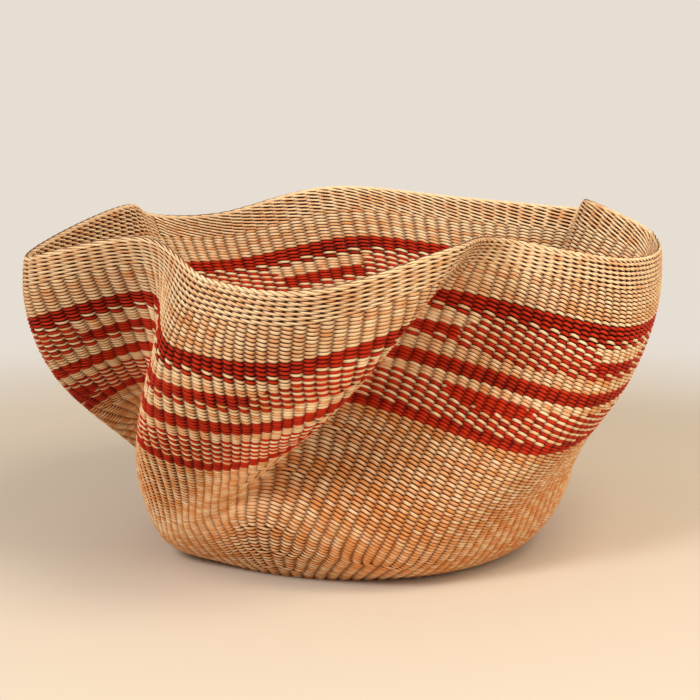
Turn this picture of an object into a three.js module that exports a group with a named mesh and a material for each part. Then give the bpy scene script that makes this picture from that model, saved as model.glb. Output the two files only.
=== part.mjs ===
// A freeform wave basket of twined straw, standing on a flat round base.
// Units are millimetres and degrees. +Z is up, the origin is the centre of the base on the floor,
// and -Y is the side with the large front lobe.
//
// The wall is built as the real one is: courses of straw strands, row upon row, twined round
// stakes that run from the middle of the base to the rolled rim. Each group of rows of one
// colour is a course of its own, and the stakes lie against the inside of the courses.
import * as THREE from 'three';

// The two main sizes. The left lobe reaches this far from the axis, and the highest point of the
// rim comes just under this height.
const LOBE_REACH = 250;
const WALL_HEIGHT = 250;

// The wave. Each station is a place round the basket where the wall is pushed out or folded in.
// A place is [azimuth, reach as a share of LOBE_REACH, height as a share of WALL_HEIGHT], at the
// rim and lower down at the shoulder.
const STATIONS = [
  { name: 'left lobe', rim: [-152, 1, 0.896], shoulder: [-165, 0.896, 0.524] },
  { name: 'left fold', rim: [-134, 0.808, 0.952], shoulder: [-149, 0.672, 0.628] },
  { name: 'front lobe, left side', rim: [-114, 0.88, 0.88], shoulder: [-127, 0.888, 0.524] },
  { name: 'front lobe', rim: [-96, 0.94, 0.864], shoulder: [-111, 0.808, 0.48] },
  { name: 'front lobe, right side', rim: [-70, 0.744, 0.944], shoulder: [-93, 0.8, 0.552] },
  { name: 'front fold', rim: [-38, 0.528, 0.924], shoulder: [-79, 0.416, 0.628] },
  { name: 'right flank', rim: [-18, 0.808, 0.872], shoulder: [-39, 0.816, 0.508] },
  { name: 'right lobe', rim: [16, 0.98, 0.88], shoulder: [0, 0.816, 0.548] },
  { name: 'right fold', rim: [32, 0.908, 0.976], shoulder: [22, 0.704, 0.6] },
  { name: 'back corner', rim: [44, 1.192, 0.912], shoulder: [40, 0.824, 0.576] },
  { name: 'back wall, right side', rim: [66, 0.992, 0.948], shoulder: [60, 0.768, 0.6] },
  { name: 'back wall', rim: [96, 0.92, 0.988], shoulder: [80, 0.756, 0.632] },
  { name: 'back hollow', rim: [124, 0.856, 0.916], shoulder: [109, 0.816, 0.576] },
  { name: 'left back corner', rim: [141, 0.888, 0.924], shoulder: [125, 0.788, 0.568] },
  { name: 'left back fold', rim: [154, 0.812, 0.972], shoulder: [140, 0.736, 0.576] },
];

// The bowl under the wave.
const BELLY_RADIUS = 163;
const BELLY_HEIGHT = 47;
const FOOT_RADIUS = 126;
const START_RADIUS = 30;
const FOLD_SWEEP = 34; // degrees that the folds run back round the bowl below the shoulder
const FOOT_EASE = 45; // length of flat base that sets how gently the wall leaves the floor

// The straw.
const WEAVE_THICKNESS = 3.6;
const RIB_HEIGHT = 1.5; // how far the stakes raise ribs in the outer face of the weave
const RIB_RUN = 4; // rows over which a rib rises above the foot course and fades under the collar
const STAKE_WIDTH = 4;
const STAKE_THICKNESS = 2.4;
const STAKE_COUNT = 20;
const COURSE_GAP = 0.3; // between one course and the next
const STAKE_GAP = 0.8; // between a stake and the courses that it stands against
const BORDER_OVERHANG = 0.9; // how far the rim border stands proud of the wall on each side
const BORDER_EDGE = 1.2; // its rounding

const STRAW = { color: 0xd9b27a, roughness: 0.72 };
const RED = { color: 0xa8281b, roughness: 0.7 };
const MIXED = { color: 0xc0744a, roughness: 0.72 };
const BASE_ROWS = 30; // from the centre of the base to the foot
const FOOT_ROWS = 2; // the last rows of the base, which belong to the foot course
const BORDER_ROWS = 1.5; // room that the rim border takes above the collar

// Rows of twining, from the foot up to the rim border, counted at the spacing of the collar's. In
// the bowl the real rows lie closer, about four where three are counted. The steps are how often a
// course is divided so that it follows the curve of the wall.
const COURSES = [
  { name: 'foot_course', rows: 3, steps: 2, straw: STRAW },
  { name: 'lower_bowl_course', rows: 12, steps: 2, straw: STRAW },
  { name: 'middle_bowl_course', rows: 13, steps: 3, straw: STRAW },
  { name: 'upper_bowl_course', rows: 12, steps: 3, straw: STRAW },
  { name: 'red_stripe_4', rows: 2, steps: 1, straw: RED },
  { name: 'ticked_band_2', rows: 7, steps: 1, straw: MIXED },
  { name: 'straw_stripe_3', rows: 2, steps: 1, straw: STRAW },
  { name: 'red_stripe_3', rows: 3, steps: 1, straw: RED },
  { name: 'straw_stripe_2', rows: 3, steps: 1, straw: STRAW },
  { name: 'red_stripe_2', rows: 4, steps: 1, straw: RED },
  { name: 'straw_stripe_1', rows: 3, steps: 1, straw: STRAW },
  { name: 'ticked_band_1', rows: 2, steps: 1, straw: MIXED },
  { name: 'red_stripe_1', rows: 3, steps: 1, straw: RED },
  { name: 'shoulder_course', rows: 8, steps: 2, straw: STRAW },
  { name: 'waled_collar', rows: 6, steps: 1, straw: STRAW },
];
const COLLAR_TOP = COURSES.reduce((sum, course) => sum + course.rows, 0);
const WALL_ROWS = COLLAR_TOP + BORDER_ROWS;
const COLUMNS_PER_STAKE = 3;
const COLUMNS = COLUMNS_PER_STAKE * STAKE_COUNT; // flat facets round a course
const SAMPLES = 24 * STATIONS.length; // points on one level line, for measuring along it

const radians = THREE.MathUtils.degToRad;
const polar = (azimuth, reach, height) => new THREE.Vector3(
  reach * Math.cos(radians(azimuth)),
  reach * Math.sin(radians(azimuth)),
  height,
);
const place = ([azimuth, reach, height]) => polar(azimuth, reach * LOBE_REACH, height * WALL_HEIGHT);
const loopThrough = (points) => new THREE.CatmullRomCurve3(points, true, 'centripetal');

// Four closed lines shape the wall: foot, belly, shoulder and rim.
const shoulderHeights = STATIONS.map(({ shoulder }) => shoulder[2] * WALL_HEIGHT);
const meanShoulder = shoulderHeights.reduce((sum, height) => sum + height, 0) / STATIONS.length;
const footLine = loopThrough(STATIONS.map(({ shoulder }) =>
  polar(shoulder[0] - FOLD_SWEEP, FOOT_RADIUS, 0)));
const bellyLine = loopThrough(STATIONS.map(({ shoulder }, i) =>
  polar(shoulder[0] - FOLD_SWEEP, BELLY_RADIUS, BELLY_HEIGHT + shoulderHeights[i] - meanShoulder)));
const shoulderLine = loopThrough(STATIONS.map(({ shoulder }) => place(shoulder)));
const rimLine = loopThrough(STATIONS.map(({ rim }) => place(rim)));
const SPANS = 3; // foot to belly, belly to shoulder, shoulder to rim

function blend(p0, p1, p2, p3, w) {
  const weights = [
    -0.5 * w + w * w - 0.5 * w ** 3,
    1 - 2.5 * w * w + 1.5 * w ** 3,
    0.5 * w + 2 * w * w - 1.5 * w ** 3,
    -0.5 * w * w + 0.5 * w ** 3,
  ];
  const sum = new THREE.Vector3();
  [p0, p1, p2, p3].forEach((p, i) => sum.addScaledVector(p, weights[i]));
  return sum;
}

// The wall's outer face at a share of the way round the pattern and up the wall.
function wallPoint(around, up) {
  const foot = footLine.getPoint(around);
  const outward = new THREE.Vector3(foot.x, foot.y, 0).normalize();
  const onFoot = outward.clone().multiplyScalar(FOOT_RADIUS);
  const before = outward.clone().multiplyScalar(FOOT_RADIUS - FOOT_EASE);
  const belly = bellyLine.getPoint(around);
  const shoulder = shoulderLine.getPoint(around);
  const rim = rimLine.getPoint(around);
  const beyond = rim.clone().sub(shoulder).multiplyScalar(3).add(belly);
  const line = [before, onFoot, belly, shoulder, rim, beyond];
  const span = Math.min(Math.floor(up * SPANS), SPANS - 1);
  return blend(line[span], line[span + 1], line[span + 2], line[span + 3], up * SPANS - span);
}

// A level line is the wall cut at one share of the way up, with the length along it.
const levelCache = new Map();
function levelLine(up) {
  if (!levelCache.has(up)) {
    const points = [];
    const along = [0];
    for (let i = 0; i <= SAMPLES; i += 1) {
      points.push(wallPoint((i % SAMPLES) / SAMPLES, up));
      if (i > 0) along.push(along[i - 1] + points[i].distanceTo(points[i - 1]));
    }
    levelCache.set(up, { points, along, girth: along[SAMPLES] });
  }
  return levelCache.get(up);
}

function alongLine(line, share) {
  const distance = (share - Math.floor(share)) * line.girth;
  let low = 0;
  let high = SAMPLES;
  while (high - low > 1) {
    const middle = (low + high) >> 1;
    if (line.along[middle] <= distance) low = middle;
    else high = middle;
  }
  const span = line.along[high] - line.along[low];
  return line.points[low].clone().lerp(line.points[high], (distance - line.along[low]) / span);
}

// Stakes are spread evenly along every level and cross it squarely, taken round the whole
// basket. The drift is how far a level's even spacing starts from the pattern's own start, and
// the climb is the mean length of stake from the foot up to the level.
const LEVELS = 90;
const drift = [0];
const climb = [0];
for (let level = 1; level <= LEVELS; level += 1) {
  const below = levelLine((level - 1) / LEVELS);
  const line = levelLine(level / LEVELS);
  let slip = 0;
  let rise = 0;
  for (let i = 0; i < COLUMNS; i += 1) {
    const share = i / COLUMNS + drift[level - 1];
    const step = alongLine(line, share).sub(alongLine(below, share));
    const ahead = alongLine(line, share + 0.5 / COLUMNS);
    const tangent = ahead.sub(alongLine(line, share - 0.5 / COLUMNS)).normalize();
    const sideways = step.dot(tangent);
    slip += sideways / COLUMNS;
    rise += step.addScaledVector(tangent, -sideways).length() / COLUMNS;
  }
  drift.push(drift[level - 1] - slip / line.girth);
  climb.push(climb[level - 1] + rise);
}
const WALL_LENGTH = climb[LEVELS];
const ROW_PITCH = WALL_LENGTH / WALL_ROWS;

// The level that lies a number of rows above the foot, counted in steps of the drift and climb.
function levelOfRow(row) {
  const length = row * ROW_PITCH;
  let below = 0;
  while (below < LEVELS - 1 && climb[below + 1] < length) below += 1;
  return below + (length - climb[below]) / (climb[below + 1] - climb[below]);
}

const startAzimuth = STATIONS[0].shoulder[0] - FOLD_SWEEP;

// The outer face at stake position share, from row -BASE_ROWS at the centre to WALL_ROWS.
function surface(share, row) {
  if (row <= 0) {
    const radius = FOOT_RADIUS * (1 + row / BASE_ROWS);
    return polar(startAzimuth + 360 * share, radius, 0);
  }
  const level = levelOfRow(row);
  const below = Math.min(Math.floor(level), LEVELS - 1);
  const shift = drift[below] + (level - below) * (drift[below + 1] - drift[below]);
  return alongLine(levelLine(level / LEVELS), share + shift);
}

const PROBE_ROWS = 3;
function outwardAt(share, row) {
  const probe = 0.5 / COLUMNS;
  const round = surface(share + probe, row).sub(surface(share - probe, row));
  const top = Math.min(row + PROBE_ROWS, WALL_ROWS);
  const rise = surface(share, top).sub(surface(share, row - PROBE_ROWS));
  return round.cross(rise).normalize();
}

// Rows are counted in straw, so a gap in millimetres is turned into a share of a row.
const gapRows = COURSE_GAP / ROW_PITCH / 2;

// A ring of closed sections, one for each column, joined into one closed body. A section runs up
// the outer face and comes back down the inner one. Its twisted faces are split along the same
// diagonal on the way up and on the way back, so that a course is equally thick all over.
function ringGeometry(sections) {
  const count = sections.length;
  const size = sections[0].length;
  const indices = [];
  for (let i = 0; i < count; i += 1) {
    const j = (i + 1) % count;
    for (let k = 0; k < size; k += 1) {
      const m = (k + 1) % size;
      const [a, b, c, d] = [i * size + k, j * size + k, j * size + m, i * size + m];
      if (k >= size / 2) indices.push(a, b, d, b, c, d);
      else indices.push(a, b, c, a, c, d);
    }
  }
  return bodyGeometry(sections.flat(), indices);
}

// The same ring with a rib up the middle of each outer facet, where the stakes stand behind the
// weave. The sections are sunk beside the ribs, and a rib is as thick as the whole weave.
function ribbedGeometry(sections) {
  const count = sections.length;
  const size = sections[0].length;
  const outer = size / 2;
  const points = sections.flat();
  const indices = [];
  for (let i = 0; i < count; i += 1) {
    const j = (i + 1) % count;
    const rib = points.length;
    for (let k = 0; k < outer; k += 1) {
      const depth = sections[j][k].clone().sub(sections[j][size - 1 - k]);
      const middle = sections[i][k].clone().lerp(sections[j][k], 0.5);
      points.push(middle.addScaledVector(depth, WEAVE_THICKNESS / depth.length() - 1));
    }
    for (let k = 0; k < size; k += 1) {
      const m = (k + 1) % size;
      const [a, b, c, d] = [i * size + k, j * size + k, j * size + m, i * size + m];
      const [g, h] = [rib + k, rib + m];
      if (k < outer - 1) indices.push(a, g, h, a, h, d, g, b, c, g, c, h);
      else if (k === outer - 1) indices.push(a, g, c, g, b, c, a, c, d);
      else if (k < size - 1) indices.push(a, b, d, b, c, d);
      else indices.push(a, b, d, b, c, h, b, h, d);
    }
  }
  return bodyGeometry(points, indices);
}

function bodyGeometry(points, indices) {
  const geometry = new THREE.BufferGeometry();
  geometry.setAttribute('position', new THREE.Float32BufferAttribute(points.flatMap((p) => [...p]), 3));
  geometry.setIndex(indices);
  geometry.computeVertexNormals();
  return geometry;
}

function inside(share, row, depth) {
  return surface(share, row).addScaledVector(outwardAt(share, row), -depth);
}

const columnShares = Array.from({ length: COLUMNS }, (_, i) => i / COLUMNS);

// The ribs run up the wall between the foot course and the collar.
const ribBottom = COURSES[0].rows;
const ribTop = COLLAR_TOP - COURSES.at(-1).rows;
function ribHeight(row) {
  const rowsFromEnd = Math.min(row - ribBottom, ribTop - row);
  return RIB_HEIGHT * THREE.MathUtils.clamp(rowsFromEnd / RIB_RUN, 0, 1);
}

// A course of the wall between two rows, as thick as the twined straw.
function courseGeometry(fromRow, toRow, steps) {
  const rows = Array.from({ length: steps + 1 }, (_, i) => fromRow + ((toRow - fromRow) * i) / steps);
  const sections = columnShares.map((share) => [
    ...rows.map((row) => inside(share, row, ribHeight(row))),
    ...rows.toReversed().map((row) => inside(share, row, WEAVE_THICKNESS)),
  ]);
  const ribbed = fromRow > ribBottom && toRow < ribTop;
  return ribbed ? ribbedGeometry(sections) : ringGeometry(sections);
}

// The whole wall is as deep as a course, the gap behind it and a stake.
const WALL_DEPTH = WEAVE_THICKNESS + STAKE_GAP + STAKE_THICKNESS;
const basket = new THREE.Group();

function addPiece(name, geometry, { color, roughness }) {
  const material = new THREE.MeshStandardMaterial({ color, roughness, metalness: 0 });
  const mesh = new THREE.Mesh(geometry, material);
  mesh.name = name;
  basket.add(mesh);
}

// The base: a solid start, where the stakes cross, and the weave round it.
const rowAtRadius = (radius) => BASE_ROWS * (radius / FOOT_RADIUS - 1);

function baseStart() {
  const profile = [
    new THREE.Vector2(0, 0),
    new THREE.Vector2(START_RADIUS, 0),
    new THREE.Vector2(START_RADIUS, WALL_DEPTH),
    new THREE.Vector2(0, WALL_DEPTH),
  ];
  const geometry = new THREE.LatheGeometry(profile, COLUMNS);
  return geometry.rotateX(Math.PI / 2);
}

addPiece('base_start', baseStart(), STRAW);
const weaveStart = rowAtRadius(START_RADIUS + COURSE_GAP);
addPiece('base_weave', courseGeometry(weaveStart, -FOOT_ROWS - gapRows, 1), STRAW);

// The wall, from the foot up to the collar.
const sectionRows = [weaveStart, -FOOT_ROWS];
let bottom = -FOOT_ROWS;
let top = 0;
COURSES.forEach(({ name, rows, steps, straw }) => {
  top += rows;
  addPiece(name, courseGeometry(bottom + gapRows, top - gapRows, steps), straw);
  for (let i = 1; i <= steps; i += 1) sectionRows.push(bottom + ((top - bottom) * i) / steps);
  bottom = top;
});

// The rim border caps the courses and the ends of the stakes.
function borderGeometry() {
  const low = COLLAR_TOP + gapRows;
  const high = (COLLAR_TOP + 2 * WALL_ROWS) / 3;
  const innerFace = WALL_DEPTH + BORDER_OVERHANG;
  return ringGeometry(columnShares.map((share) => [
    inside(share, low, -BORDER_OVERHANG),
    inside(share, high, -BORDER_OVERHANG),
    inside(share, WALL_ROWS, BORDER_EDGE - BORDER_OVERHANG),
    inside(share, WALL_ROWS, innerFace - BORDER_EDGE),
    inside(share, high, innerFace),
    inside(share, low, innerFace),
    inside(share, low, WEAVE_THICKNESS),
    inside(share, low, 0),
  ]));
}
addPiece('rim_border', borderGeometry(), STRAW);

// A stake stands in the middle of a facet, its flat outer face along the inside of the courses.
// A facet is two triangles, so the stake bends where the facet's diagonal crosses it.
const stakeRows = [...sectionRows.slice(0, -1), COLLAR_TOP - STAKE_GAP / ROW_PITCH];

function stakeSection(column, leftRow, rightRow) {
  const left = inside(column / COLUMNS, leftRow, WEAVE_THICKNESS);
  const right = inside((column + 1) / COLUMNS, rightRow, WEAVE_THICKNESS);
  const row = (leftRow + rightRow) / 2;
  const across = surface((column + 1) / COLUMNS, row).sub(surface(column / COLUMNS, row)).normalize();
  const inward = outwardAt((column + 0.5) / COLUMNS, row).negate();
  inward.addScaledVector(across, -inward.dot(across)).normalize();
  return [
    [-STAKE_WIDTH / 2, STAKE_GAP],
    [STAKE_WIDTH / 2, STAKE_GAP],
    [STAKE_WIDTH / 2, STAKE_GAP + STAKE_THICKNESS],
    [-STAKE_WIDTH / 2, STAKE_GAP + STAKE_THICKNESS],
  ].map(([sideways, depth]) => left.clone().lerp(right, 0.5)
    .addScaledVector(across, sideways)
    .addScaledVector(inward, depth));
}

function stakeGeometry(column) {
  const sections = [];
  stakeRows.forEach((row, i) => {
    if (i > 0) sections.push(stakeSection(column, stakeRows[i - 1], row));
    sections.push(stakeSection(column, row, row));
  });
  const indices = [0, 2, 1, 0, 3, 2];
  const corners = sections[0].length;
  for (let i = 0; i + 1 < sections.length; i += 1) {
    for (let k = 0; k < corners; k += 1) {
      const m = (k + 1) % corners;
      const here = i * corners;
      const next = here + corners;
      indices.push(here + k, here + m, next + m, here + k, next + m, next + k);
    }
  }
  const last = (sections.length - 1) * corners;
  indices.push(last, last + 1, last + 2, last, last + 2, last + 3);
  return bodyGeometry(sections.flat(), indices);
}

for (let i = 0; i < STAKE_COUNT; i += 1) {
  addPiece(`stake_${String(i + 1).padStart(2, '0')}`, stakeGeometry(COLUMNS_PER_STAKE * i), STRAW);
}

export default basket;
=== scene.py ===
# %% [markdown]
# # A woven grass basket with a waved rim
# This basket is nothing but grass straws: stakes run from the middle of the base to the rim, and
# strands are twined round them, row upon row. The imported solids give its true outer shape, and
# this lesson weaves the straws themselves along that shape. The first cell loads the solids as a
# fixed frame, which nothing here moves.

# %% Load the frame
import bpy
import numpy as np
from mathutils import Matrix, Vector


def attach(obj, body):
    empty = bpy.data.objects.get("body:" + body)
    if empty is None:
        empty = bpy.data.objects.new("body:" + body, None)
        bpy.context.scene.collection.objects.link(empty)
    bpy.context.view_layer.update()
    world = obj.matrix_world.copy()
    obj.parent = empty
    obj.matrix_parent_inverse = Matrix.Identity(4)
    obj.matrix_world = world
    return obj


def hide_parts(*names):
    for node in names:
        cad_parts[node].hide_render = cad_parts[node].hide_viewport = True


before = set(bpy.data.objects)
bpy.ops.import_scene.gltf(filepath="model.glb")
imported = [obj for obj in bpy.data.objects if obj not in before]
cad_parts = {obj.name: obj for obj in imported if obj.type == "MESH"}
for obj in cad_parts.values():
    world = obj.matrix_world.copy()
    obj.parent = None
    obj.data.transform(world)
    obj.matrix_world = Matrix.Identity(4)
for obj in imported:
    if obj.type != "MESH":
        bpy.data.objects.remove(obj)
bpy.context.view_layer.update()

# %% [markdown]
# ## The waved wall
# The real wall is pushed out into lobes and folded in between them while the straw is damp.
# A mesh could be sculpted by hand, but the straws have to follow rows and stakes exactly, so the
# wall is a rule instead: fifteen stations round the basket, each a place on the rim and one on
# the shoulder below it, and smooth curves through them. The numbers are those of the solids.

# %% Stations of the wave: azimuth in degrees, reach and height in millimetres
RIM = np.array([
    (-152, 250, 224), (-134, 202, 238), (-114, 220, 220), (-96, 235, 216), (-70, 186, 236),
    (-38, 132, 231), (-18, 202, 218), (16, 245, 220), (32, 227, 244), (44, 298, 228),
    (66, 248, 237), (96, 230, 247), (124, 214, 229), (141, 222, 231), (154, 203, 243)], float)
SHOULDER = np.array([
    (-165, 224, 131), (-149, 168, 157), (-127, 222, 131), (-111, 202, 120), (-93, 200, 138),
    (-79, 104, 157), (-39, 204, 127), (0, 204, 137), (22, 176, 150), (40, 206, 144),
    (60, 192, 150), (80, 189, 158), (109, 204, 144), (125, 197, 142), (140, 184, 144)], float)
BELLY_RADIUS, BELLY_HEIGHT, FOOT_RADIUS = 163, 47, 126
FOLD_SWEEP, FOOT_EASE = 34, 45
LEVELS, SAMPLES = 90, 1440


def polar(azimuth, reach, height):
    angle = np.radians(azimuth)
    return np.stack([reach * np.cos(angle), reach * np.sin(angle), height + 0 * angle], -1)


def loop_through(points, t):
    """A smooth closed curve through the points, at the shares t of the way round."""
    n = len(points)
    i = np.floor(t * n).astype(int)
    w = (t * n - i)[:, None]
    p0, p1, p2, p3 = (points[(i + k) % n] for k in (-1, 0, 1, 2))
    d0, d1, d2 = (np.linalg.norm(b - a, axis=1)[:, None] ** 0.5
                  for a, b in ((p0, p1), (p1, p2), (p2, p3)))
    m1 = ((p1 - p0) / d0 - (p2 - p0) / (d0 + d1) + (p2 - p1) / d1) * d1
    m2 = ((p2 - p1) / d1 - (p3 - p1) / (d1 + d2) + (p3 - p2) / d2) * d1
    return p1 + m1 * w + (3 * (p2 - p1) - 2 * m1 - m2) * w**2 + (2 * (p1 - p2) + m1 + m2) * w**3


def wall_levels():
    """Points of the wall's outer face, level upon level from the foot to the rim."""
    t = np.arange(SAMPLES) / SAMPLES
    swept = SHOULDER[:, 0] - FOLD_SWEEP
    foot = loop_through(polar(swept, FOOT_RADIUS, 0), t)
    outward = foot / np.linalg.norm(foot, axis=1)[:, None]
    belly_height = BELLY_HEIGHT + SHOULDER[:, 2] - SHOULDER[:, 2].mean()
    belly = loop_through(polar(swept, BELLY_RADIUS, belly_height), t)
    shoulder = loop_through(polar(*SHOULDER.T), t)
    rim = loop_through(polar(*RIM.T), t)
    line = [outward * (FOOT_RADIUS - FOOT_EASE), outward * FOOT_RADIUS, belly, shoulder, rim,
            3 * rim - 3 * shoulder + belly]
    levels = []
    for up in np.linspace(0, 1, LEVELS + 1):
        span = min(int(up * 3), 2)
        w = up * 3 - span
        weights = (-0.5 * w + w * w - 0.5 * w**3, 1 - 2.5 * w * w + 1.5 * w**3,
                   0.5 * w + 2 * w * w - 1.5 * w**3, -0.5 * w * w + 0.5 * w**3)
        levels.append(sum(k * line[span + n] for n, k in enumerate(weights)))
    return np.array(levels)


LEVEL_POINTS = wall_levels()
print("the wall is drawn on", LEVEL_POINTS.shape[0], "levels of", SAMPLES, "points")

# %% [markdown]
# ## How high the wall climbs
# A weaver counts rows up the wall, so the straws are placed by a row and by a share of the way
# round it. The rows share out the height of the wall, which is measured square to them, because
# the folds sweep sideways as they go up. A share is a part of the row's own length, so that the
# stitches are as wide in a fold as on a lobe.

# %% The climb from level to level
CLIMB_COLUMNS = 60
WALL_ROWS = 84.5


def unit(vectors):
    return vectors / np.linalg.norm(vectors, axis=-1)[..., None]


def length_along(points):
    """How far along the points each of them lies."""
    steps = np.linalg.norm(np.diff(points, axis=0), axis=1)
    return np.concatenate([[0], np.cumsum(steps)])


def along_level(level, share):
    """Points at shares of a level's own length, and that length."""
    points = np.vstack([LEVEL_POINTS[level], LEVEL_POINTS[level][:1]])
    lengths = length_along(points)
    distance = (share % 1) * lengths[-1]
    places = np.stack([np.interp(distance, lengths, points[:, k]) for k in range(3)], -1)
    return places, lengths[-1]


def climb_of_levels():
    """The mean length of wall up to each level, measured square to the levels."""
    columns = np.arange(CLIMB_COLUMNS) / CLIMB_COLUMNS
    drift, climb = 0.0, [0.0]
    for level in range(1, LEVELS + 1):
        here, girth = along_level(level, columns + drift)
        ahead = along_level(level, columns + drift + 0.5 / CLIMB_COLUMNS)[0]
        behind = along_level(level, columns + drift - 0.5 / CLIMB_COLUMNS)[0]
        tangent = unit(ahead - behind)
        step = here - along_level(level - 1, columns + drift)[0]
        sideways = (step * tangent).sum(1)
        square = step - sideways[:, None] * tangent
        climb.append(climb[-1] + np.linalg.norm(square, axis=1).mean())
        drift -= sideways.mean() / girth
    return np.array(climb)


CLIMB = climb_of_levels()
ROW_PITCH = CLIMB[-1] / WALL_ROWS
print("the wall climbs", round(CLIMB[-1]), "mm, in rows", round(ROW_PITCH, 2), "mm apart")

# %% [markdown]
# ## The grid of rows and shares
# The flat base carries the same rows on towards its middle. The result is one grid, from which any
# row, any share and any depth in the wall can be read, and also which way is out and up, and how
# high a row is at that place. These directions are taken over several steps of the grid, so that
# they turn smoothly through the folds.

# %% The grid
FIRST_ROW, ROW_STEP, SHARES = -39.5, 0.5, 1440
REACH_ROUND, REACH_UP = 7, 5
START_AZIMUTH = SHOULDER[0, 0] - FOLD_SWEEP
GRID_ROWS = np.arange(FIRST_ROW, WALL_ROWS + ROW_STEP / 2, ROW_STEP)
TOP_OF_GRID = len(GRID_ROWS) - 1.001  # just short of the last row, which has none above it


def skin_grid():
    """The outer face at every half row and every share."""
    even = np.arange(SHARES) / SHARES
    azimuths = START_AZIMUTH + 360 * even
    levels = np.array([along_level(level, even)[0] for level in range(LEVELS + 1)])
    rows = []
    for row in GRID_ROWS:
        if row <= 0:
            rows.append(polar(azimuths, FOOT_RADIUS + row * ROW_PITCH, 0))
            continue
        level = np.interp(row * ROW_PITCH, CLIMB, np.arange(LEVELS + 1))
        low = min(int(level), LEVELS - 1)
        rows.append(levels[low] + (level - low) * (levels[low + 1] - levels[low]))
    return np.array(rows)


SKIN = skin_grid()
ROUND = unit(np.roll(SKIN, -REACH_ROUND, 1) - np.roll(SKIN, REACH_ROUND, 1))
above = np.minimum(np.arange(len(SKIN)) + REACH_UP, len(SKIN) - 1)
below = np.maximum(np.arange(len(SKIN)) - REACH_UP, 0)
RISE = SKIN[above] - SKIN[below]
OUT = unit(np.cross(ROUND, RISE))
UP = unit(np.cross(OUT, ROUND))
ROW_HEIGHT = (RISE * UP).sum(2)[..., None] / (ROW_STEP * (above - below))[:, None, None]
GIRTH = np.linalg.norm(np.roll(SKIN, -1, 1) - SKIN, axis=2).sum(1)
print("girth at foot and rim",
      [round(float(np.interp(row, GRID_ROWS, GIRTH))) for row in (0, WALL_ROWS)], "mm")


def read(grid, share, row):
    """The grid's value between its points."""
    x = (np.asarray(share) % 1) * SHARES
    y = np.clip((np.asarray(row) - FIRST_ROW) / ROW_STEP, 0, TOP_OF_GRID)
    i, j = np.floor(x).astype(int), np.floor(y).astype(int)
    u, v = (x - i)[..., None], (y - j)[..., None]
    i, k = i % SHARES, (i + 1) % SHARES
    return ((grid[j, i] * (1 - u) + grid[j, k] * u) * (1 - v)
            + (grid[j + 1, i] * (1 - u) + grid[j + 1, k] * u) * v)


# %% [markdown]
# ## The stakes
# The weaver starts with a handful of stakes in the middle. From row to row every stake goes up
# square to the row, but the pull of the twining makes all of them lean a little, least on the
# front lobe. The twining also holds every stake about as far from its neighbours as they are from
# each other, and where the wall widens and gaps open, new stakes are pushed in. This cell does the
# same, row by row. New stakes come in pairs, as a straw folded in two gives both at once. The
# pairs also keep an even stake even in every row, which the ticking below needs.

# %% Plan of the stakes
LEAN, FRONT_LEAN = 0.65, -0.4
FRONT_SHARE, FRONT_WIDTH, FRONT_ROW, FRONT_RAMP = 0.175, 0.055, 50, 10
FIRST_STAKES = 12
STAKE_PITCH_LOW, STAKE_PITCH_HIGH = 8.0, 9.4
EVENING_ROUNDS, EVENING_STEP = 10, 0.25
NEW_STAKE_PLACES = (0.38, 0.62)
GAP_REACH = np.array([0.3, 0.7, 1.0, 0.7, 0.3])
PLAN_ROWS = np.arange(FIRST_ROW, WALL_ROWS)


def room_at(row, share):
    """Millimetres of row for each share of the way round."""
    step = read(SKIN, share + 0.5 / SHARES, row) - read(SKIN, share - 0.5 / SHARES, row)
    return np.linalg.norm(step, axis=-1) * SHARES


def lean_at(row, share):
    """How far the twining pulls the stakes aside in one row, in millimetres."""
    front = np.exp(-((share % 1 - FRONT_SHARE) / FRONT_WIDTH) ** 2)
    return LEAN + (FRONT_LEAN - LEAN) * front * np.clip((row - FRONT_ROW) / FRONT_RAMP, 0, 1)


def row_above(spots, row):
    """The shares at which stakes come through a row when they left the one below at the spots."""
    rise = read(SKIN, spots, row) - read(SKIN, spots, row - 1)
    sideways = (rise * unit(read(ROUND, spots, row))).sum(-1)
    return spots + (lean_at(row, spots) - sideways) / room_at(row, spots)


def plan_of_stakes():
    """Each stake's share in every row, in their order round the basket, and its first row."""
    spots = np.arange(FIRST_STAKES) / FIRST_STAKES
    names, births, plan = list(range(FIRST_STAKES)), [0] * FIRST_STAKES, []
    for number, row in enumerate(PLAN_ROWS):
        if row > 0:
            spots = row_above(spots, row)
        pitch = np.interp(row, (0, WALL_ROWS), (STAKE_PITCH_LOW, STAKE_PITCH_HIGH))
        while len(spots) + 1 < np.interp(row, GRID_ROWS, GIRTH) / pitch:
            ahead = np.append(spots[1:], spots[0] + 1)
            gaps = (ahead - spots) * room_at(row, (spots + ahead) / 2)
            wide = sum(share * np.roll(gaps, k - 2) for k, share in enumerate(GAP_REACH))
            place = int(np.argmax(wide))
            gap = ahead[place] - spots[place]
            added = [spots[place] + part * gap for part in NEW_STAKE_PLACES]
            spots = np.insert(spots, place + 1, added)
            names[place + 1:place + 1] = [len(births), len(births) + 1]
            births += [number, number]
        for _ in range(EVENING_ROUNDS):
            ahead = np.append(spots[1:], spots[0] + 1)
            room = room_at(row, (spots + ahead) / 2)
            gaps = (ahead - spots) * room
            spots = spots + EVENING_STEP * (gaps - np.roll(gaps, 1)) / room
        plan.append(dict(zip(names, spots)))
    shares = np.full((len(plan), len(names)), np.nan)
    for number, spots_of in enumerate(plan):
        for place, name in enumerate(names):
            shares[number, place] = spots_of.get(name, np.nan)
    return shares, np.array(births)[names]


STAKE_SHARES, STAKE_BIRTHS = plan_of_stakes()


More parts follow.
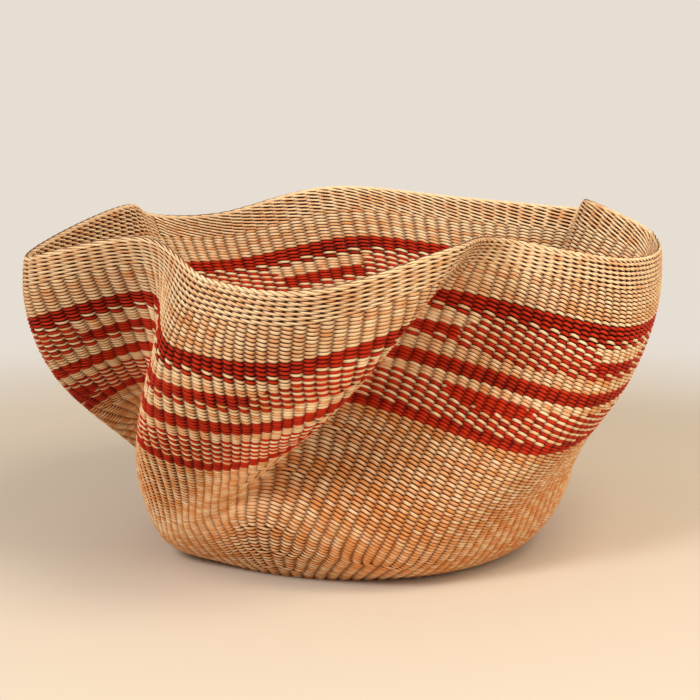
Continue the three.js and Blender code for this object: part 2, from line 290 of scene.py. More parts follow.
def stakes_at(row):
    """The shares of the stakes in a row, in their order."""
    number = int(np.clip(np.searchsorted(PLAN_ROWS, row, "right") - 1, 0, len(PLAN_ROWS) - 2))
    part = np.clip(row - PLAN_ROWS[number], 0, 1)
    there = STAKE_BIRTHS <= number
    low, high = STAKE_SHARES[number, there], STAKE_SHARES[number + 1, there]
    return low + part * (high - low)


for label, row in (("foot", 0), ("rim", WALL_ROWS - 1)):
    places = stakes_at(row)
    apart = np.diff(places) * room_at(row, (places[1:] + places[:-1]) / 2)
    print("stakes at the", label, len(places), "mostly", np.percentile(apart, (2, 98)).round(1),
          "mm apart")

# %% [markdown]
# ## Paths of the twining
# In a twined row two strands go round together. One passes outside a stake while the other passes
# inside it, then they swap, and on the way they turn half round each other. So each strand's path
# is a wave: the side says how far out it stands and the lift how far up, a quarter of a turn
# apart. The side keeps its full height over most of a stake and drops steeply between two.

# %% Twined rows
STEPS = 4
SIDE_FULLNESS = 0.5


def row_shares(row):
    """Shares of the points along a row: on each stake, half way to the next, and between."""
    centres = stakes_at(row)
    count = len(centres)
    before = np.concatenate([[centres[-1] - 1], centres, [centres[0] + 1]])
    halves = (before[:-1] + before[1:]) / 2
    u = np.arange(STEPS * count + 1) / STEPS - 0.5
    knots = np.empty(2 * count + 1)
    knots[0::2], knots[1::2] = halves, centres
    return u, np.interp(u, np.arange(2 * count + 1) / 2 - 0.5, knots), count


def twined_path(row, strand):
    """One of the two strands of a twined row."""
    u, share, _ = row_shares(row)
    turn = np.pi * (u + strand)
    side = np.sign(np.cos(turn)) * np.abs(np.cos(turn)) ** SIDE_FULLNESS
    return {"share": share, "row": np.full(len(u), row), "side": side, "lift": -np.sin(turn)}


print("a row near the rim has", len(row_shares(70.5)[0]), "points on each strand")

# %% [markdown]
# ## Paths of the waling
# The rows under the rim use three strands, each of which passes outside two stakes and inside one,
# which gives the long slanting floats of the collar. A formula for such a wave would be clumsy, so
# its side is a short table over one turn. The short stitches inside are plumper, as each has its
# row to itself there, and a float gets painted shade where it dives in. Where the stakes don't
# divide by three, the last dozen floats of the round are stretched a little until the pattern
# closes.

# %% Waled rows
WALE_SHARE = (0, 0.08, 0.17, 0.33, 0.5, 0.59, 0.667, 0.75, 0.833, 0.917, 1)
WALE_SIDE = (-0.6, 0.5, 1, 0.95, 0.85, 0.5, -0.6, -0.95, -1, -0.95, -0.6)
# the first number is how much shade is painted where a float dives in
WALE_DIVE_SHADE, WALE_OUTSIDE, WALE_INSIDE_PLUMP, WALE_JOIN = 1.7, -0.1, 1.4, 12


def waled_path(row, strand):
    """One of the three strands of a waled row."""
    u, share, count = row_shares(row)
    odd_stakes = count - 3 * round(count / 3)
    made_up = np.clip((u - u[-1]) / WALE_JOIN + 1, 0, 1) * odd_stakes
    part = ((u - made_up + strand) / 3 + 1 / 6) % 1
    side = np.interp(part, WALE_SHARE, WALE_SIDE)
    return {"share": share, "row": np.full(len(u), row), "side": side,
            "lift": np.interp(part, (0, 2 / 3, 1), (1, -1, 1)),
            "bend": WALE_DIVE_SHADE * (1 - np.abs(side)) * (side > WALE_OUTSIDE),
            "facing": np.minimum(side, 0),
            "plump": np.interp(side, (-1, 0), (WALE_INSIDE_PLUMP, 1))}


outside = np.mean(waled_path(80.5, 0)["side"] > 0)
print("a strand of the collar shows outside over", round(float(outside), 2), "of its way")

# %% [markdown]
# ## A small language for nodes
# Trees of nodes are easier to read as sums than as boxes, so one class wraps a socket and gives it
# Python's operators, and one method adds any other node from its type, its settings and its
# sockets. The geometry trees and the materials are both written with it.

# %% Wires and trees
# a Mix node has its sockets once for each type of value, and these are the ones for colours
MIX_A, MIX_B, MIX_RESULT = 6, 7, 2


class Wire:
    """A socket of a tree. Arithmetic on it adds Math nodes."""

    def __init__(self, tree, socket):
        self.tree, self.socket = tree, socket

    def math(self, operation, *others):
        return self.tree.add("ShaderNodeMath", {"operation": operation},
                             dict(enumerate((self, *others))))["Value"]

    def __add__(self, other):
        return self.math("ADD", other)

    __radd__ = __add__

    def __sub__(self, other):
        return self.math("SUBTRACT", other)

    def __rsub__(self, other):
        return self.math("MULTIPLY", -1.0).math("ADD", other)

    def __mul__(self, other):
        return self.math("MULTIPLY", other)

    __rmul__ = __mul__


class Tree:
    """A node tree that is filled by calls."""

    def __init__(self, nodes):
        self.nodes = nodes

    def add(self, kind, settings=(), sockets=()):
        """Adds a node, sets it, fills its sockets and gives its outputs by name."""
        made = self.nodes.nodes.new(kind)
        for name, value in dict(settings).items():
            setattr(made, name, value)
        for name, value in dict(sockets).items():
            if isinstance(value, Wire):
                self.nodes.links.new(value.socket, made.inputs[name])
            else:
                made.inputs[name].default_value = value
        return Outputs(self, made)

    def mix(self, factor, a, b):
        """A colour between a and b."""
        mixed = self.add("ShaderNodeMix", {"data_type": "RGBA"}, {
            "Factor": factor, MIX_A: a, MIX_B: b})
        return Wire(self, mixed.node.outputs[MIX_RESULT])


class Outputs:
    """A node's outputs by name, as wires."""

    def __init__(self, tree, made):
        self.tree, self.node = tree, made

    def __getitem__(self, name):
        return Wire(self.tree, self.node.outputs[name])


print("wires take +, - and *, with numbers on either side")

# %% [markdown]
# ## The curve of a straw
# Every straw of the basket is a tube that follows a path, so one Geometry Nodes tree makes them
# all. It takes bare paths on the middle of the wall with their side and lift, and pushes them out
# and up by named sizes. Each straw is fullest where it stands out on a stake and narrows to its
# waist between two, it is as high as its row has room, and it is a little uneven. Noise in place
# of random numbers keeps that unevenness smooth along the straw.

# %% Geometry Nodes: from paths to curves
STRAND_INPUTS = {
    "Stand Off": 0.0015, "Twist Lift": 0.0006, "Straw Height": 0.0029, "Straw Depth": 0.0027,
    "Waist": 0.32, "Unevenness": 0.09,
}
NOISE_SCALE, STRAY, SWELLING = 160.0, 0.006, 6


def named(tree, name, kind="FLOAT"):
    return tree.add("GeometryNodeInputNamedAttribute", {"data_type": kind},
                    {"Name": name})["Attribute"]


def stored(tree, geometry, name, value, kind="FLOAT"):
    return tree.add("GeometryNodeStoreNamedAttribute", {"data_type": kind, "domain": "POINT"},
                    {"Geometry": geometry, "Name": name, "Value": value})["Geometry"]


def scaled(tree, vector, scale):
    return tree.add("ShaderNodeVectorMath", {"operation": "SCALE"},
                    {0: vector, "Scale": scale})["Vector"]


def total(tree, a, b):
    return tree.add("ShaderNodeVectorMath", {"operation": "ADD"}, {0: a, 1: b})["Vector"]


def straw_curves(tree, given):
    """The paths pushed out and up, as curves that carry the straws' thickness."""
    side, out = named(tree, "side"), named(tree, "out", "FLOAT_VECTOR")
    noise = tree.add("ShaderNodeTexNoise", {"noise_dimensions": "4D"}, {
        "W": given["Seed"], "Scale": NOISE_SCALE, "Detail": 1.0})["Fac"] - 0.5
    rise = named(tree, "lift") * given["Twist Lift"] + noise * given["Unevenness"] * STRAY
    offset = total(tree, scaled(tree, out, side * given["Stand Off"]),
                   scaled(tree, named(tree, "up", "FLOAT_VECTOR"), rise))
    moved = tree.add("GeometryNodeSetPosition", {},
                     {"Geometry": given["Paths"], "Offset": offset})["Geometry"]
    curve = tree.add("GeometryNodeMeshToCurve", {}, {"Mesh": moved})["Curve"]
    curve = tree.add("GeometryNodeSetCurveNormal", {"mode": "FREE"},
                     {"Curve": curve, "Normal": out})["Curve"]
    curve = stored(tree, curve, "along", tree.add("GeometryNodeSplineParameter")["Length"])
    swell = given["Waist"] + (1 - given["Waist"]) * side * side
    swell = swell * named(tree, "room") * (1 + noise * given["Unevenness"] * SWELLING)
    return tree.add("GeometryNodeSetCurveRadius", {}, {"Curve": curve, "Radius": swell})["Curve"]


print("inputs of a strand", STRAND_INPUTS)

# %% [markdown]
# ## The sweep
# A flattened ring is swept along the curves. A real straw's section has no corners, but at three
# millimetres across, five sides with smooth shading look round, and they keep a piece with
# thousands of stitches light. The ring's own place and the length along the straw are kept as
# coordinates for the material. The tree ends in plain geometry with its material set.

# %% Geometry Nodes: sweep the straws
SECTION_SIDES, FIBRE_UNITS = 5, 1000.0
STRAND_SEED = 1


def straw_section(tree, given):
    """The flattened ring, which remembers where it was when it was round."""
    ring = tree.add("GeometryNodeCurvePrimitiveCircle", {"mode": "RADIUS"},
                    {"Resolution": SECTION_SIDES, "Radius": 1.0})["Curve"]
    place = tree.add("GeometryNodeInputPosition")["Position"]
    ring = stored(tree, ring, "section", place, "FLOAT_VECTOR")
    size = tree.add("ShaderNodeCombineXYZ", {}, {
        "X": given["Straw Depth"] * 0.5, "Y": given["Straw Height"] * 0.5, "Z": 1.0})["Vector"]
    return tree.add("GeometryNodeTransform", {}, {"Geometry": ring, "Scale": size})["Geometry"]


def strand_tree():
    """The whole tree, and the identifiers of its inputs by their names."""
    group = bpy.data.node_groups.new("straws along paths", "GeometryNodeTree")
    group.is_modifier = True
    face = group.interface
    face.new_socket("Paths", in_out="INPUT", socket_type="NodeSocketGeometry")
    for name, value in {**STRAND_INPUTS, "Seed": STRAND_SEED}.items():
        face.new_socket(name, in_out="INPUT", socket_type="NodeSocketFloat").default_value = value
    face.new_socket("Straw", in_out="INPUT", socket_type="NodeSocketMaterial")
    face.new_socket("Straws", in_out="OUTPUT", socket_type="NodeSocketGeometry")
    tree = Tree(group)
    given = tree.add("NodeGroupInput")
    mesh = tree.add("GeometryNodeCurveToMesh", {}, {
        "Curve": straw_curves(tree, given), "Profile Curve": straw_section(tree, given),
        "Fill Caps": True})["Mesh"]
    along = tree.add("ShaderNodeCombineXYZ", {}, {
        "Z": named(tree, "along") * FIBRE_UNITS})["Vector"]
    fibre = total(tree, named(tree, "section", "FLOAT_VECTOR"), along)
    mesh = stored(tree, mesh, "fibre", fibre, "FLOAT_VECTOR")
    mesh = tree.add("GeometryNodeSetShadeSmooth", {}, {"Geometry": mesh})["Geometry"]
    mesh = tree.add("GeometryNodeRealizeInstances", {}, {"Geometry": mesh})["Geometry"]
    mesh = tree.add("GeometryNodeSetMaterial", {},
                    {"Geometry": mesh, "Material": given["Straw"]})["Geometry"]
    tree.add("NodeGroupOutput", {}, {"Straws": mesh})
    return group, {s.name: s.identifier for s in face.items_tree if s.in_out == "INPUT"}


STRAND_TREE, STRAND_SOCKETS = strand_tree()
print("the strand tree has", len(STRAND_TREE.nodes), "nodes")

# %% [markdown]
# ## Straw
# Each strand is a split grass stem, twisted on itself: undyed ones run from cream to gold, with
# darker lines along the fibre, and the dyed ones take the colour unevenly. The dye and the tone
# come from attributes of the strand, so that every straw has its own tone, and the fibre lines
# from noise stretched along the straw. They also drive a fine bump. Shade is painted into the
# colour where a straw dives in between two stakes, and along its upper and lower edges, where it
# meets the rows above and below. The face that it turns to the stakes, which shows only through
# the gaps, gets painted shade as well. The stakes hardly see the light, so they get painted shade
# all over.

# %% Straw materials
CREAM, GOLD, BROWN = (0.95, 0.70, 0.42, 1), (0.76, 0.31, 0.10, 1), (0.09, 0.018, 0.004, 1)
SCARLET, CRIMSON = (0.57, 0.028, 0.004, 1), (0.08, 0.003, 0.001, 1)
FIBRE_STRETCH, FIBRE_SCALE = (2.4, 2.4, 0.12), 1.6
FIBRE_FROM, FIBRE_TO, FIBRE_DARK = 0.45, 0.80, 0.5
BLOTCH_SCALE, BLOTCH_SHARE, FLECK_SCALE, FLECK_SHARE = 22.0, 0.8, 130.0, 1.3
GOLD_FROM, GOLD_TO = 0.1, 1.0
# painted shade: how much falls where a straw dives between stakes, along its edges against the
# rows above and below, on its face toward the stakes, and on the stakes all over
DIVE_SHADE, EDGE_SHADE, EDGE_SHADE_FROM, EDGE_SHADE_TO = 0.55, 1.1, 0.52, 0.95
INWARD_SHADE_FULL, STAKE_SHADE = -0.5, 0.6
DYED_DARK, DYED_TONE = 0.8, 0.45
ROUGHNESS_LOW, ROUGHNESS_RANGE, SPECULAR = 0.42, 0.25, 0.1
BUMP_STRENGTH, BUMP_HEIGHT = 0.5, 0.0004


class StrawTree(Tree):
    """A straw's material tree, with what its colours are mixed from."""

    def attribute(self, called, output="Fac"):
        return self.add("ShaderNodeAttribute", {"attribute_name": called})[output]

    def ranged(self, value, low, high, full=1.0, **settings):
        """0 where the value is low and full where it is high."""
        return self.add("ShaderNodeMapRange", settings, {
            "Value": value, "From Min": low, "From Max": high, "To Max": full})["Result"]

    def cloud(self, scale, **sockets):
        place = self.add("ShaderNodeTexCoord")["Object"]
        return self.add("ShaderNodeTexNoise", {},
                        {"Vector": place, "Scale": scale, **sockets})["Fac"]

    def fibre_lines(self):
        stretched = self.add("ShaderNodeMapping", {}, {
            "Vector": self.attribute("fibre", "Vector"), "Scale": FIBRE_STRETCH})["Vector"]
        return self.add("ShaderNodeTexNoise", {}, {
            "Vector": stretched, "Scale": FIBRE_SCALE, "Detail": 3.0, "Roughness": 0.6})["Fac"]

    # painted shade where the straw dives between stakes, along its edges against the neighbouring
    # rows, and on the face it turns to the stakes
    def painted_shade(self):
        section = self.add("ShaderNodeSeparateXYZ", {}, {
            "Vector": self.attribute("fibre", "Vector")})
        edge_shade = self.ranged(section["Y"].math("ABSOLUTE"), EDGE_SHADE_FROM, EDGE_SHADE_TO,
                              interpolation_type="SMOOTHSTEP")
        inward_shade = self.ranged(section["X"] * self.attribute("facing"), 0.0, INWARD_SHADE_FULL)
        return self.attribute("bend") * DIVE_SHADE + edge_shade * EDGE_SHADE + inward_shade

    def golden(self):
        blotch = (self.cloud(BLOTCH_SCALE, Detail=2.0) - 0.5) * BLOTCH_SHARE
        fleck = (self.cloud(FLECK_SCALE) - 0.5) * FLECK_SHARE
        return self.ranged(self.attribute("tone") + blotch + fleck, GOLD_FROM, GOLD_TO)


def straw_material(name, extra_shade):
    material = bpy.data.materials.new(name)
    material.use_nodes = True
    shader = material.node_tree.nodes["Principled BSDF"]
    tree = StrawTree(material.node_tree)
    # the third is painted shade, with the extra painted shade of the stakes added
    lines, gold, painted_shade_amount = tree.fibre_lines(), tree.golden(), tree.painted_shade() + extra_shade
    dark = tree.ranged(lines, FIBRE_FROM, FIBRE_TO, FIBRE_DARK)
    natural = tree.mix(dark + painted_shade_amount, tree.mix(gold, CREAM, GOLD), BROWN)
    dyed = tree.mix(dark * DYED_DARK + gold * DYED_TONE + painted_shade_amount, SCARLET, CRIMSON)
    bump = tree.add("ShaderNodeBump", {}, {
        "Height": lines, "Strength": BUMP_STRENGTH, "Distance": BUMP_HEIGHT})["Normal"]
    for socket, wire in (("Base Color", tree.mix(tree.attribute("dye"), natural, dyed)),
                         ("Roughness", ROUGHNESS_LOW + lines * ROUGHNESS_RANGE),
                         ("Normal", bump)):
        tree.nodes.links.new(wire.socket, shader.inputs[socket])
    shader.inputs["Specular IOR Level"].default_value = SPECULAR
    return material


# the stakes get extra painted shade all over
MATERIALS = {slot: straw_material(slot, extra_shade) for slot, extra_shade in (
    ("natural_straw", 0), ("red_straw", 0), ("ticked_straw", 0), ("stake_straw", STAKE_SHADE))}
print("materials", list(MATERIALS))

# %% [markdown]
# ## Bare paths
# A piece is made from its paths in four moves: the paths are read off the wall's grid, written as
# bare edges with their attributes, swept by the strand tree and turned into a plain mesh. Here are
# the first two. Rows are packed as tightly as they go, so a straw's room is the height that its
# row has at that place, against the usual one. A strand in a row is really many straws, each
# pushed in where the last one ends, so its tone changes every few hundred millimetres.

# %% Paths as edges with attributes
MM = 0.001
MIDDLE_DEPTH = 2.9
USUAL_ROW = 3.0
LEAST_ROOM, MOST_ROOM = 0.72, 1.3
SHORTEST_STRAW, LONGEST_STRAW = 200, 500
# the last value is the painted shade where a straw dives in between two stakes
PATH_VALUES = ("out", "up", "side", "lift", "room", "dye", "tone", "facing", "bend")
TONE_SEED = 27
seeded = np.random.default_rng(TONE_SEED)


def straw_tones(path, tone):
    """A tone for each point: straws of 0.2 to 0.5 m follow each other along the strand."""
    length = length_along(read(SKIN, path["share"], path["row"]))
    straws = int(length[-1] / SHORTEST_STRAW) + 2
    ends = np.cumsum(seeded.uniform(SHORTEST_STRAW, LONGEST_STRAW, straws))
    tones = seeded.uniform(*tone, len(ends) + 1)
    return tones[np.searchsorted(ends, length)]


def path_values(path, tone):
    """What each point of a path carries, in the order of PATH_VALUES."""
    share, row, side = path["share"], path["row"], path["side"]
    room = read(ROW_HEIGHT, share, row)[:, 0] * path.get("spacing", 1.0) / USUAL_ROW
    room = np.clip(room, LEAST_ROOM, MOST_ROOM) * path.get("plump", 1.0)
    return (unit(read(OUT, share, row)), unit(read(UP, share, row)), side, path["lift"],
            path.get("room", room), np.broadcast_to(path.get("dye", 0.0), len(share)),
            straw_tones(path, tone), path.get("facing", side), path.get("bend", 1 - np.abs(side)))


def path_mesh(name, paths, tone):
    """The paths as bare edges on the middle of the wall, in metres."""
    values = [path_values(path, tone) for path in paths]
    points = [read(SKIN, path["share"], path["row"])
              - carried[0] * np.reshape(path.get("depth", MIDDLE_DEPTH), (-1, 1))
              for path, carried in zip(paths, values)]
    starts = np.cumsum([0] + [len(p) for p in points])
    edges = np.concatenate([np.arange(a, b - 1) for a, b in zip(starts, starts[1:])])
    mesh = bpy.data.meshes.new(name)
    mesh.vertices.add(starts[-1])
    mesh.vertices.foreach_set("co", (np.concatenate(points) * MM).astype(np.float32).ravel())
    mesh.edges.add(len(edges))
    mesh.edges.foreach_set("vertices", np.stack([edges, edges + 1], 1).astype(np.int32).ravel())
    for label, parts in zip(PATH_VALUES, zip(*values)):
        column = np.concatenate(parts).astype(np.float32)
        kind, field = ("FLOAT_VECTOR", "vector") if column.ndim == 2 else ("FLOAT", "value")
        mesh.attributes.new(label, kind, "POINT").data.foreach_set(field, column.ravel())
    return mesh


print("each point of a path carries", ", ".join(PATH_VALUES))

# %% [markdown]
# ## From paths to pieces
# The modifier does the sweep, and the mesh that comes out of it takes the place of the bare edges.
# Attributes that no material reads are dropped. The piece then takes the place of its course in
# the solids, which is hidden.

# %% The piece maker
WORKING_VALUES = ("out", "up", "side", "lift", "room", "section", "along")


def swept_mesh(piece, slot, sizes):
    """The piece's paths swept by the strand tree, as a plain mesh."""
    sweep = piece.modifiers.new("sweep", "NODES")
    sweep.node_group = STRAND_TREE
    for label, value in {**dict(sizes), "Straw": MATERIALS[slot]}.items():
        sweep[STRAND_SOCKETS[label]] = value
    graph = bpy.context.evaluated_depsgraph_get()
    swept = bpy.data.meshes.new_from_object(piece.evaluated_get(graph),
                                            preserve_all_data_layers=True, depsgraph=graph)
    piece.modifiers.remove(sweep)
    for label in WORKING_VALUES:
        if label in swept.attributes:
            swept.attributes.remove(swept.attributes[label])
    return swept


def make_piece(name, paths, slot, nodes, sizes=(), tone=(0, 1)):
    """Sweeps the paths, hides the nodes that the piece replaces and gives its triangles."""
    piece = bpy.data.objects.new(name, path_mesh(name, paths, tone))
    bpy.context.scene.collection.objects.link(piece)
    piece.data = swept_mesh(piece, slot, sizes)
    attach(piece, "root")
    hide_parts(*nodes)
    triangles = sum(len(face.vertices) - 2 for face in piece.data.polygons)
    print(name, len(paths), "strands", triangles, "triangles")
    return triangles


print("a straw lies", MIDDLE_DEPTH, "mm inside the outer face, and swings out and in from there")

# %% [markdown]
# ## The twined wall
# Each course of the solids becomes its own piece, twined from its own number of rows. Natural rows
# have two undyed strands and red rows two dyed ones. Where one strand is dyed and the other isn't,
# they come to the outside in turn, and because every row starts with the other strand than the
# row below, that gives the ticking. The weaver also lets the ticking swell into the stripes
# beside it here and there, in long lenses, and closes it to plain red in others.

# %% The pattern of the rows, from the foot to the shoulder
COURSES = (
    ("foot_course", -2, 3, "n" * 6), ("lower_bowl_course", 3, 15, "n" * 15),
    ("middle_bowl_course", 15, 28, "n" * 18), ("upper_bowl_course", 28, 40, "n" * 16),
    ("red_stripe_4", 40, 42, "rrr"), ("ticked_band_2", 42, 49, "t" * 10),
    ("straw_stripe_3", 49, 51, "nnn"), ("red_stripe_3", 51, 54, "rrrr"),
    ("straw_stripe_2", 54, 57, "nnnn"), ("red_stripe_2", 57, 61, "ttrrr"),
    ("straw_stripe_1", 61, 64, "nnnn"), ("ticked_band_1", 64, 66, "tt"),
    ("red_stripe_1", 66, 69, "rrr"), ("shoulder_course", 69, 77, "n" * 9))
# lenses are (share, half the width in shares, middle row, half the height in rows)
TICKED_LENSES = (
    (0.003, 0.024, 60.8, 4.6), (0.200, 0.030, 60.4, 3.6), (0.360, 0.034, 60.8, 4.6),
    (0.450, 0.028, 60.8, 4.6), (0.535, 0.030, 60.8, 4.6), (0.610, 0.026, 60.8, 4.6),
    (0.690, 0.030, 60.8, 4.6), (0.800, 0.032, 60.8, 4.6), (0.900, 0.030, 60.8, 4.6))
RED_LENSES = (
    (0.006, 0.016, 44.8, 2.0), (0.360, 0.024, 47.6, 1.8), (0.490, 0.026, 47.3, 2.2),
    (0.590, 0.024, 46.0, 2.2), (0.745, 0.026, 47.3, 2.2), (0.860, 0.026, 46.0, 2.2))


def in_lens(lenses, row, share):
    inside = np.zeros(len(share), bool)
    for middle, width, height, tall in lenses:
        aside = (share - middle + 0.5) % 1 - 0.5
        inside |= (aside / width) ** 2 + ((row - height) / tall) ** 2 < 1
    return inside


def dye_of(kind, number, strand, row, share):
    """1 where a strand is dyed red."""
    ticked = float(strand == number % 2)
    dye = np.full(len(share), {"n": 0.0, "r": 1.0, "t": ticked}[kind])
    dye[in_lens(TICKED_LENSES, row, share)] = ticked
    if kind == "t":
        dye[in_lens(RED_LENSES, row, share)] = 1.0
    return dye


def slot_of(name):
    return {"red": "red_straw", "ticked": "ticked_straw"}.get(name.split("_")[0], "natural_straw")


print("twined rows on the wall:", sum(len(pattern) for *_, pattern in COURSES))

# %% [markdown]
# ## The courses
# Each undyed straw has a tone of its own, drawn at random from a range for its course. The
# ranges make the bowl more golden than the part under the rim: painted shade on the lower wall.

# %% Courses of twining
# the bowl's ranges lie toward gold: painted shade on the lower wall
BOWL_TONES, STRIPE_TONES = (0.4, 1.1), (0, 0.8)
TONES = {"foot_course": BOWL_TONES, "lower_bowl_course": BOWL_TONES,
         "middle_bowl_course": BOWL_TONES, "upper_bowl_course": (0.3, 1),
         "shoulder_course": (0, 0.7)}
total_triangles, number = 0, 0
for name, first, last, pattern in COURSES:
    paths, spacing = [], (last - first) / len(pattern)
    for place, kind in enumerate(pattern):
        row = first + (place + 0.5) * spacing
        for strand in (0, 1):
            path = twined_path(row, strand)
            path["dye"] = dye_of(kind, number, strand, row, path["share"] % 1)
            path["spacing"] = spacing
            paths.append(path)
        number += 1
    total_triangles += make_piece(name.replace("_course", "") + "_weave", paths, slot_of(name),
                                  [name], tone=TONES.get(name, STRIPE_TONES))

# %% [markdown]
# ## Collar and border
# Under the rim the weaver changes to waling, whose long floats slant like the strands of a rope.
# On the real basket the stake ends are then bent over the edge and bound in. Here only the
# binding is made: a slim rope of three strands that runs along the whole rim, a helix whose middle
# follows the last row.

# %% The waled collar
COLLAR_ROWS = range(77, 83)
paths = [waled_path(row + 0.5, strand) for row in COLLAR_ROWS for strand in (0, 1, 2)]
total_triangles += make_piece("waled_collar_weave", paths, "natural_straw", ["waled_collar"], {
    "Straw Height": 0.0022, "Straw Depth": 0.0023, "Twist Lift": 0.0012, "Waist": 0.3},
    tone=(0, 0.6))

# %% The rope of the rim
ROPE_STRANDS, ROPE_TURN, ROPE_STEPS = 3, 3, 4
ROPE_DEPTH, ROPE_ROW, ROPE_RADIUS = 2.7, 83.45, 0.95


def rope_path(strand):
    """One strand of the rope, which turns once in every three stakes."""
    centres = stakes_at(WALL_ROWS - 1)
    count = len(centres)
    u = np.arange(ROPE_STEPS * count + 1) / ROPE_STEPS
    share = np.interp(u, np.arange(count + 1), np.append(centres, centres[0] + 1))
    turn = 2 * np.pi * (u / ROPE_TURN + strand / ROPE_STRANDS)
    height = read(ROW_HEIGHT, share, np.full(len(u), ROPE_ROW))[:, 0]
    return {"share": share, "row": ROPE_ROW + ROPE_RADIUS * np.sin(turn) / height,
            "depth": ROPE_DEPTH + ROPE_RADIUS * np.cos(turn),
            "side": np.ones(len(u)), "lift": np.zeros(len(u)), "facing": np.zeros(len(u)),
            "room": np.ones(len(u))}


paths = [rope_path(strand) for strand in range(ROPE_STRANDS)]
total_triangles += make_piece("rim_rope", paths, "natural_straw", ["rim_border"], {
    "Stand Off": 0.0, "Straw Height": 0.0027, "Straw Depth": 0.0026}, tone=(0, 0.3))

# %% [markdown]
# ## Base
# The base is the same twining, begun round the crossed first stakes. At the very middle, where no
# row can turn so tightly, six straws lie across each other and close it.

# %% The base
CROSSED_STRAWS, CROSSED_ROWS = 6, np.array([-36, -37, -38, -39.4])
CROSSED_DEPTH, CROSSED_STEP, CROSSED_ROOM = 2.2, 0.25, 2.4


def crossed_path(number):
    """A straw that lies across the very middle, over the ones before it."""
    share = number / CROSSED_STRAWS / 2
    rows = np.concatenate([CROSSED_ROWS, CROSSED_ROWS[::-1]])
    flat = np.zeros(len(rows))
    return {"share": np.repeat([share, share + 0.5], len(CROSSED_ROWS)), "row": rows,
            "depth": CROSSED_DEPTH + CROSSED_STEP * number, "side": flat, "lift": flat,
            "bend": flat, "facing": flat, "room": flat + CROSSED_ROOM}


for piece_name, name, first, last in (("base_knot", "base_start", -38, -30),
                                      ("base_rounds", "base_weave", -30, -2)):
    paths = [twined_path(row + 0.5, strand) for row in range(first, last) for strand in (0, 1)]
    if name == "base_start":
        paths += [crossed_path(number) for number in range(CROSSED_STRAWS)]
    total_triangles += make_piece(piece_name, paths, "natural_straw", [name],
                                  {"Straw Height": 0.0033}, tone=BOWL_TONES)

# %% [markdown]
# ## Stakes
# The stakes are seen only as ribs and in the gaps between the strands, but without them the wall
# would be see-through. They are flat straws, so the sweep gets a wide, thin section and no waist.

# %% The stakes
STAKE_NODES = [f"stake_{number:02d}" for number in range(1, 21)]


def stake_paths():
    paths = []
    for stake, birth in enumerate(STAKE_BIRTHS):
        rows = PLAN_ROWS[birth:]
        paths.append({"share": STAKE_SHARES[birth:, stake], "row": rows,
                      "side": np.zeros(len(rows)), "lift": np.zeros(len(rows))})
    return paths


total_triangles += make_piece(
    "all_stakes", stake_paths(), "stake_straw", STAKE_NODES,
    {"Straw Height": 0.0058, "Straw Depth": 0.0013, "Waist": 1.0})
print("triangles in all", total_triangles)

# %% [markdown]
# ## Floor, light and camera
# The basket stands on a plain pale floor. Far from the basket the floor turns, for the camera
# only, into the even tone of the backdrop, so that no horizon cuts through the picture while the
# shadow near the basket stays. One soft lamp from the upper left models the folds, a weak warm one
# fills the right, a third shines down into the mouth, and the world adds an even warm light. The
# camera has the photograph's height, distance and lens.

# %% Backdrop
BACKDROP, BACKDROP_STRENGTH = (0.80, 0.73, 0.65, 1), 1.0
SKY, SKY_STRENGTH = (1.0, 0.91, 0.78, 1), 0.54


def seen_straight(tree):
    """1 where the camera looks, also by a mirror or through glass, and 0 for all other light."""
    path = tree.add("ShaderNodeLightPath")
    return path["Is Camera Ray"] + path["Is Glossy Ray"] + path["Is Transmission Ray"]


world = bpy.data.worlds.new("studio")
bpy.context.scene.world = world
world.use_nodes = True
sky = Tree(world.node_tree)
daylight = sky.add("ShaderNodeBackground", {}, {"Color": SKY, "Strength": SKY_STRENGTH})
backdrop = sky.add("ShaderNodeBackground", {}, {
    "Color": BACKDROP, "Strength": BACKDROP_STRENGTH})
both = sky.add("ShaderNodeMixShader", {}, {
    0: seen_straight(sky), 1: daylight["Background"], 2: backdrop["Background"]})["Shader"]
world.node_tree.links.new(both.socket, world.node_tree.nodes["World Output"].inputs["Surface"])
print("the world lights at", SKY_STRENGTH, "and shows the camera", BACKDROP[:3])

# %% Floor
FLOOR_SIZE, FADE_NEAR, FADE_FAR = 6.0, 0.45, 1.0
FLOOR_COLOUR, FLOOR_ROUGHNESS = (0.68, 0.59, 0.49, 1), 0.85
corners = [(-FLOOR_SIZE, -FLOOR_SIZE, 0), (FLOOR_SIZE, -FLOOR_SIZE, 0),
           (FLOOR_SIZE, FLOOR_SIZE, 0), (-FLOOR_SIZE, FLOOR_SIZE, 0)]
floor_mesh = bpy.data.meshes.new("floor")
floor_mesh.from_pydata(corners, [], [(0, 1, 2, 3)])
floor = bpy.data.objects.new("floor", floor_mesh)
bpy.context.scene.collection.objects.link(floor)
floor_material = bpy.data.materials.new("pale_floor")
floor_material.use_nodes = True
pale = floor_material.node_tree.nodes["Principled BSDF"]
pale.inputs["Base Color"].default_value = FLOOR_COLOUR
pale.inputs["Roughness"].default_value = FLOOR_ROUGHNESS
ground = Tree(floor_material.node_tree)
radius = ground.add("ShaderNodeVectorMath", {"operation": "LENGTH"}, {
    0: ground.add("ShaderNodeTexCoord")["Object"]})["Value"]
fade = ground.add("ShaderNodeMapRange", {"interpolation_type": "SMOOTHSTEP"}, {
    "Value": radius, "From Min": FADE_NEAR, "From Max": FADE_FAR})["Result"]
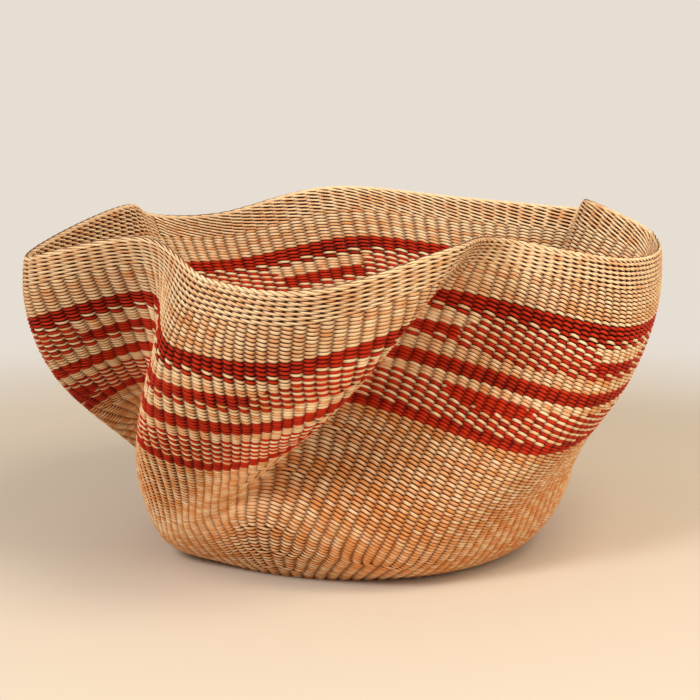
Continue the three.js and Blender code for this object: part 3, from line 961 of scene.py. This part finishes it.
glow = ground.add("ShaderNodeEmission", {}, {
    "Color": BACKDROP, "Strength": BACKDROP_STRENGTH})["Emission"]
surface = ground.add("ShaderNodeMixShader", {}, {
    0: fade * seen_straight(ground), 1: Wire(ground, pale.outputs["BSDF"]), 2: glow})["Shader"]
floor_material.node_tree.links.new(
    surface.socket, floor_material.node_tree.nodes["Material Output"].inputs["Surface"])
floor_mesh.materials.append(floor_material)
print("the floor turns into the backdrop from", FADE_NEAR, "to", FADE_FAR, "m")

# %% Lamps
LAMP_AIM = (0, 0, 0.12)


def turned_to(place, aim):
    """The turn that makes a lamp or camera look from a place at its aim."""
    return (Vector(aim) - Vector(place)).to_track_quat("-Z", "Y")


def lamp(name, place, size, watts, aim=LAMP_AIM, colour=(1, 1, 1)):
    light = bpy.data.lights.new(name, "AREA")
    light.size, light.energy, light.color = size, watts, colour
    lamp_object = bpy.data.objects.new(name, light)
    lamp_object.location = place
    lamp_object.rotation_mode = "QUATERNION"
    lamp_object.rotation_quaternion = turned_to(place, aim)
    bpy.context.scene.collection.objects.link(lamp_object)
    print("lamp", name, watts, "W, from", place)


lamp("key", (-1.0, -1.3, 1.3), 0.6, 20)
lamp("fill", (1.1, -1.0, 0.9), 1.0, 9, colour=(1.0, 0.89, 0.74))
lamp("top", (0.7, -0.5, 1.5), 0.7, 12, aim=(-0.1, 0.1, 0.2), colour=(1.0, 0.88, 0.70))

# %% Camera
CAMERA_PLACE, CAMERA_AIM = (-0.0042, -1.1832, 0.3396), (-0.0042, 0, 0.1395)
SENSOR_WIDTH, LENS = 36, 82.3
camera_data = bpy.data.cameras.new("camera")
camera_data.sensor_width, camera_data.lens = SENSOR_WIDTH, LENS
camera = bpy.data.objects.new("camera", camera_data)
camera.location = CAMERA_PLACE
camera.rotation_mode = "QUATERNION"
camera.rotation_quaternion = turned_to(CAMERA_PLACE, CAMERA_AIM)
bpy.context.scene.collection.objects.link(camera)
bpy.context.scene.camera = camera
bpy.context.scene.view_settings.view_transform = "Standard"
print("the camera looks through", LENS, "mm from", CAMERA_PLACE)
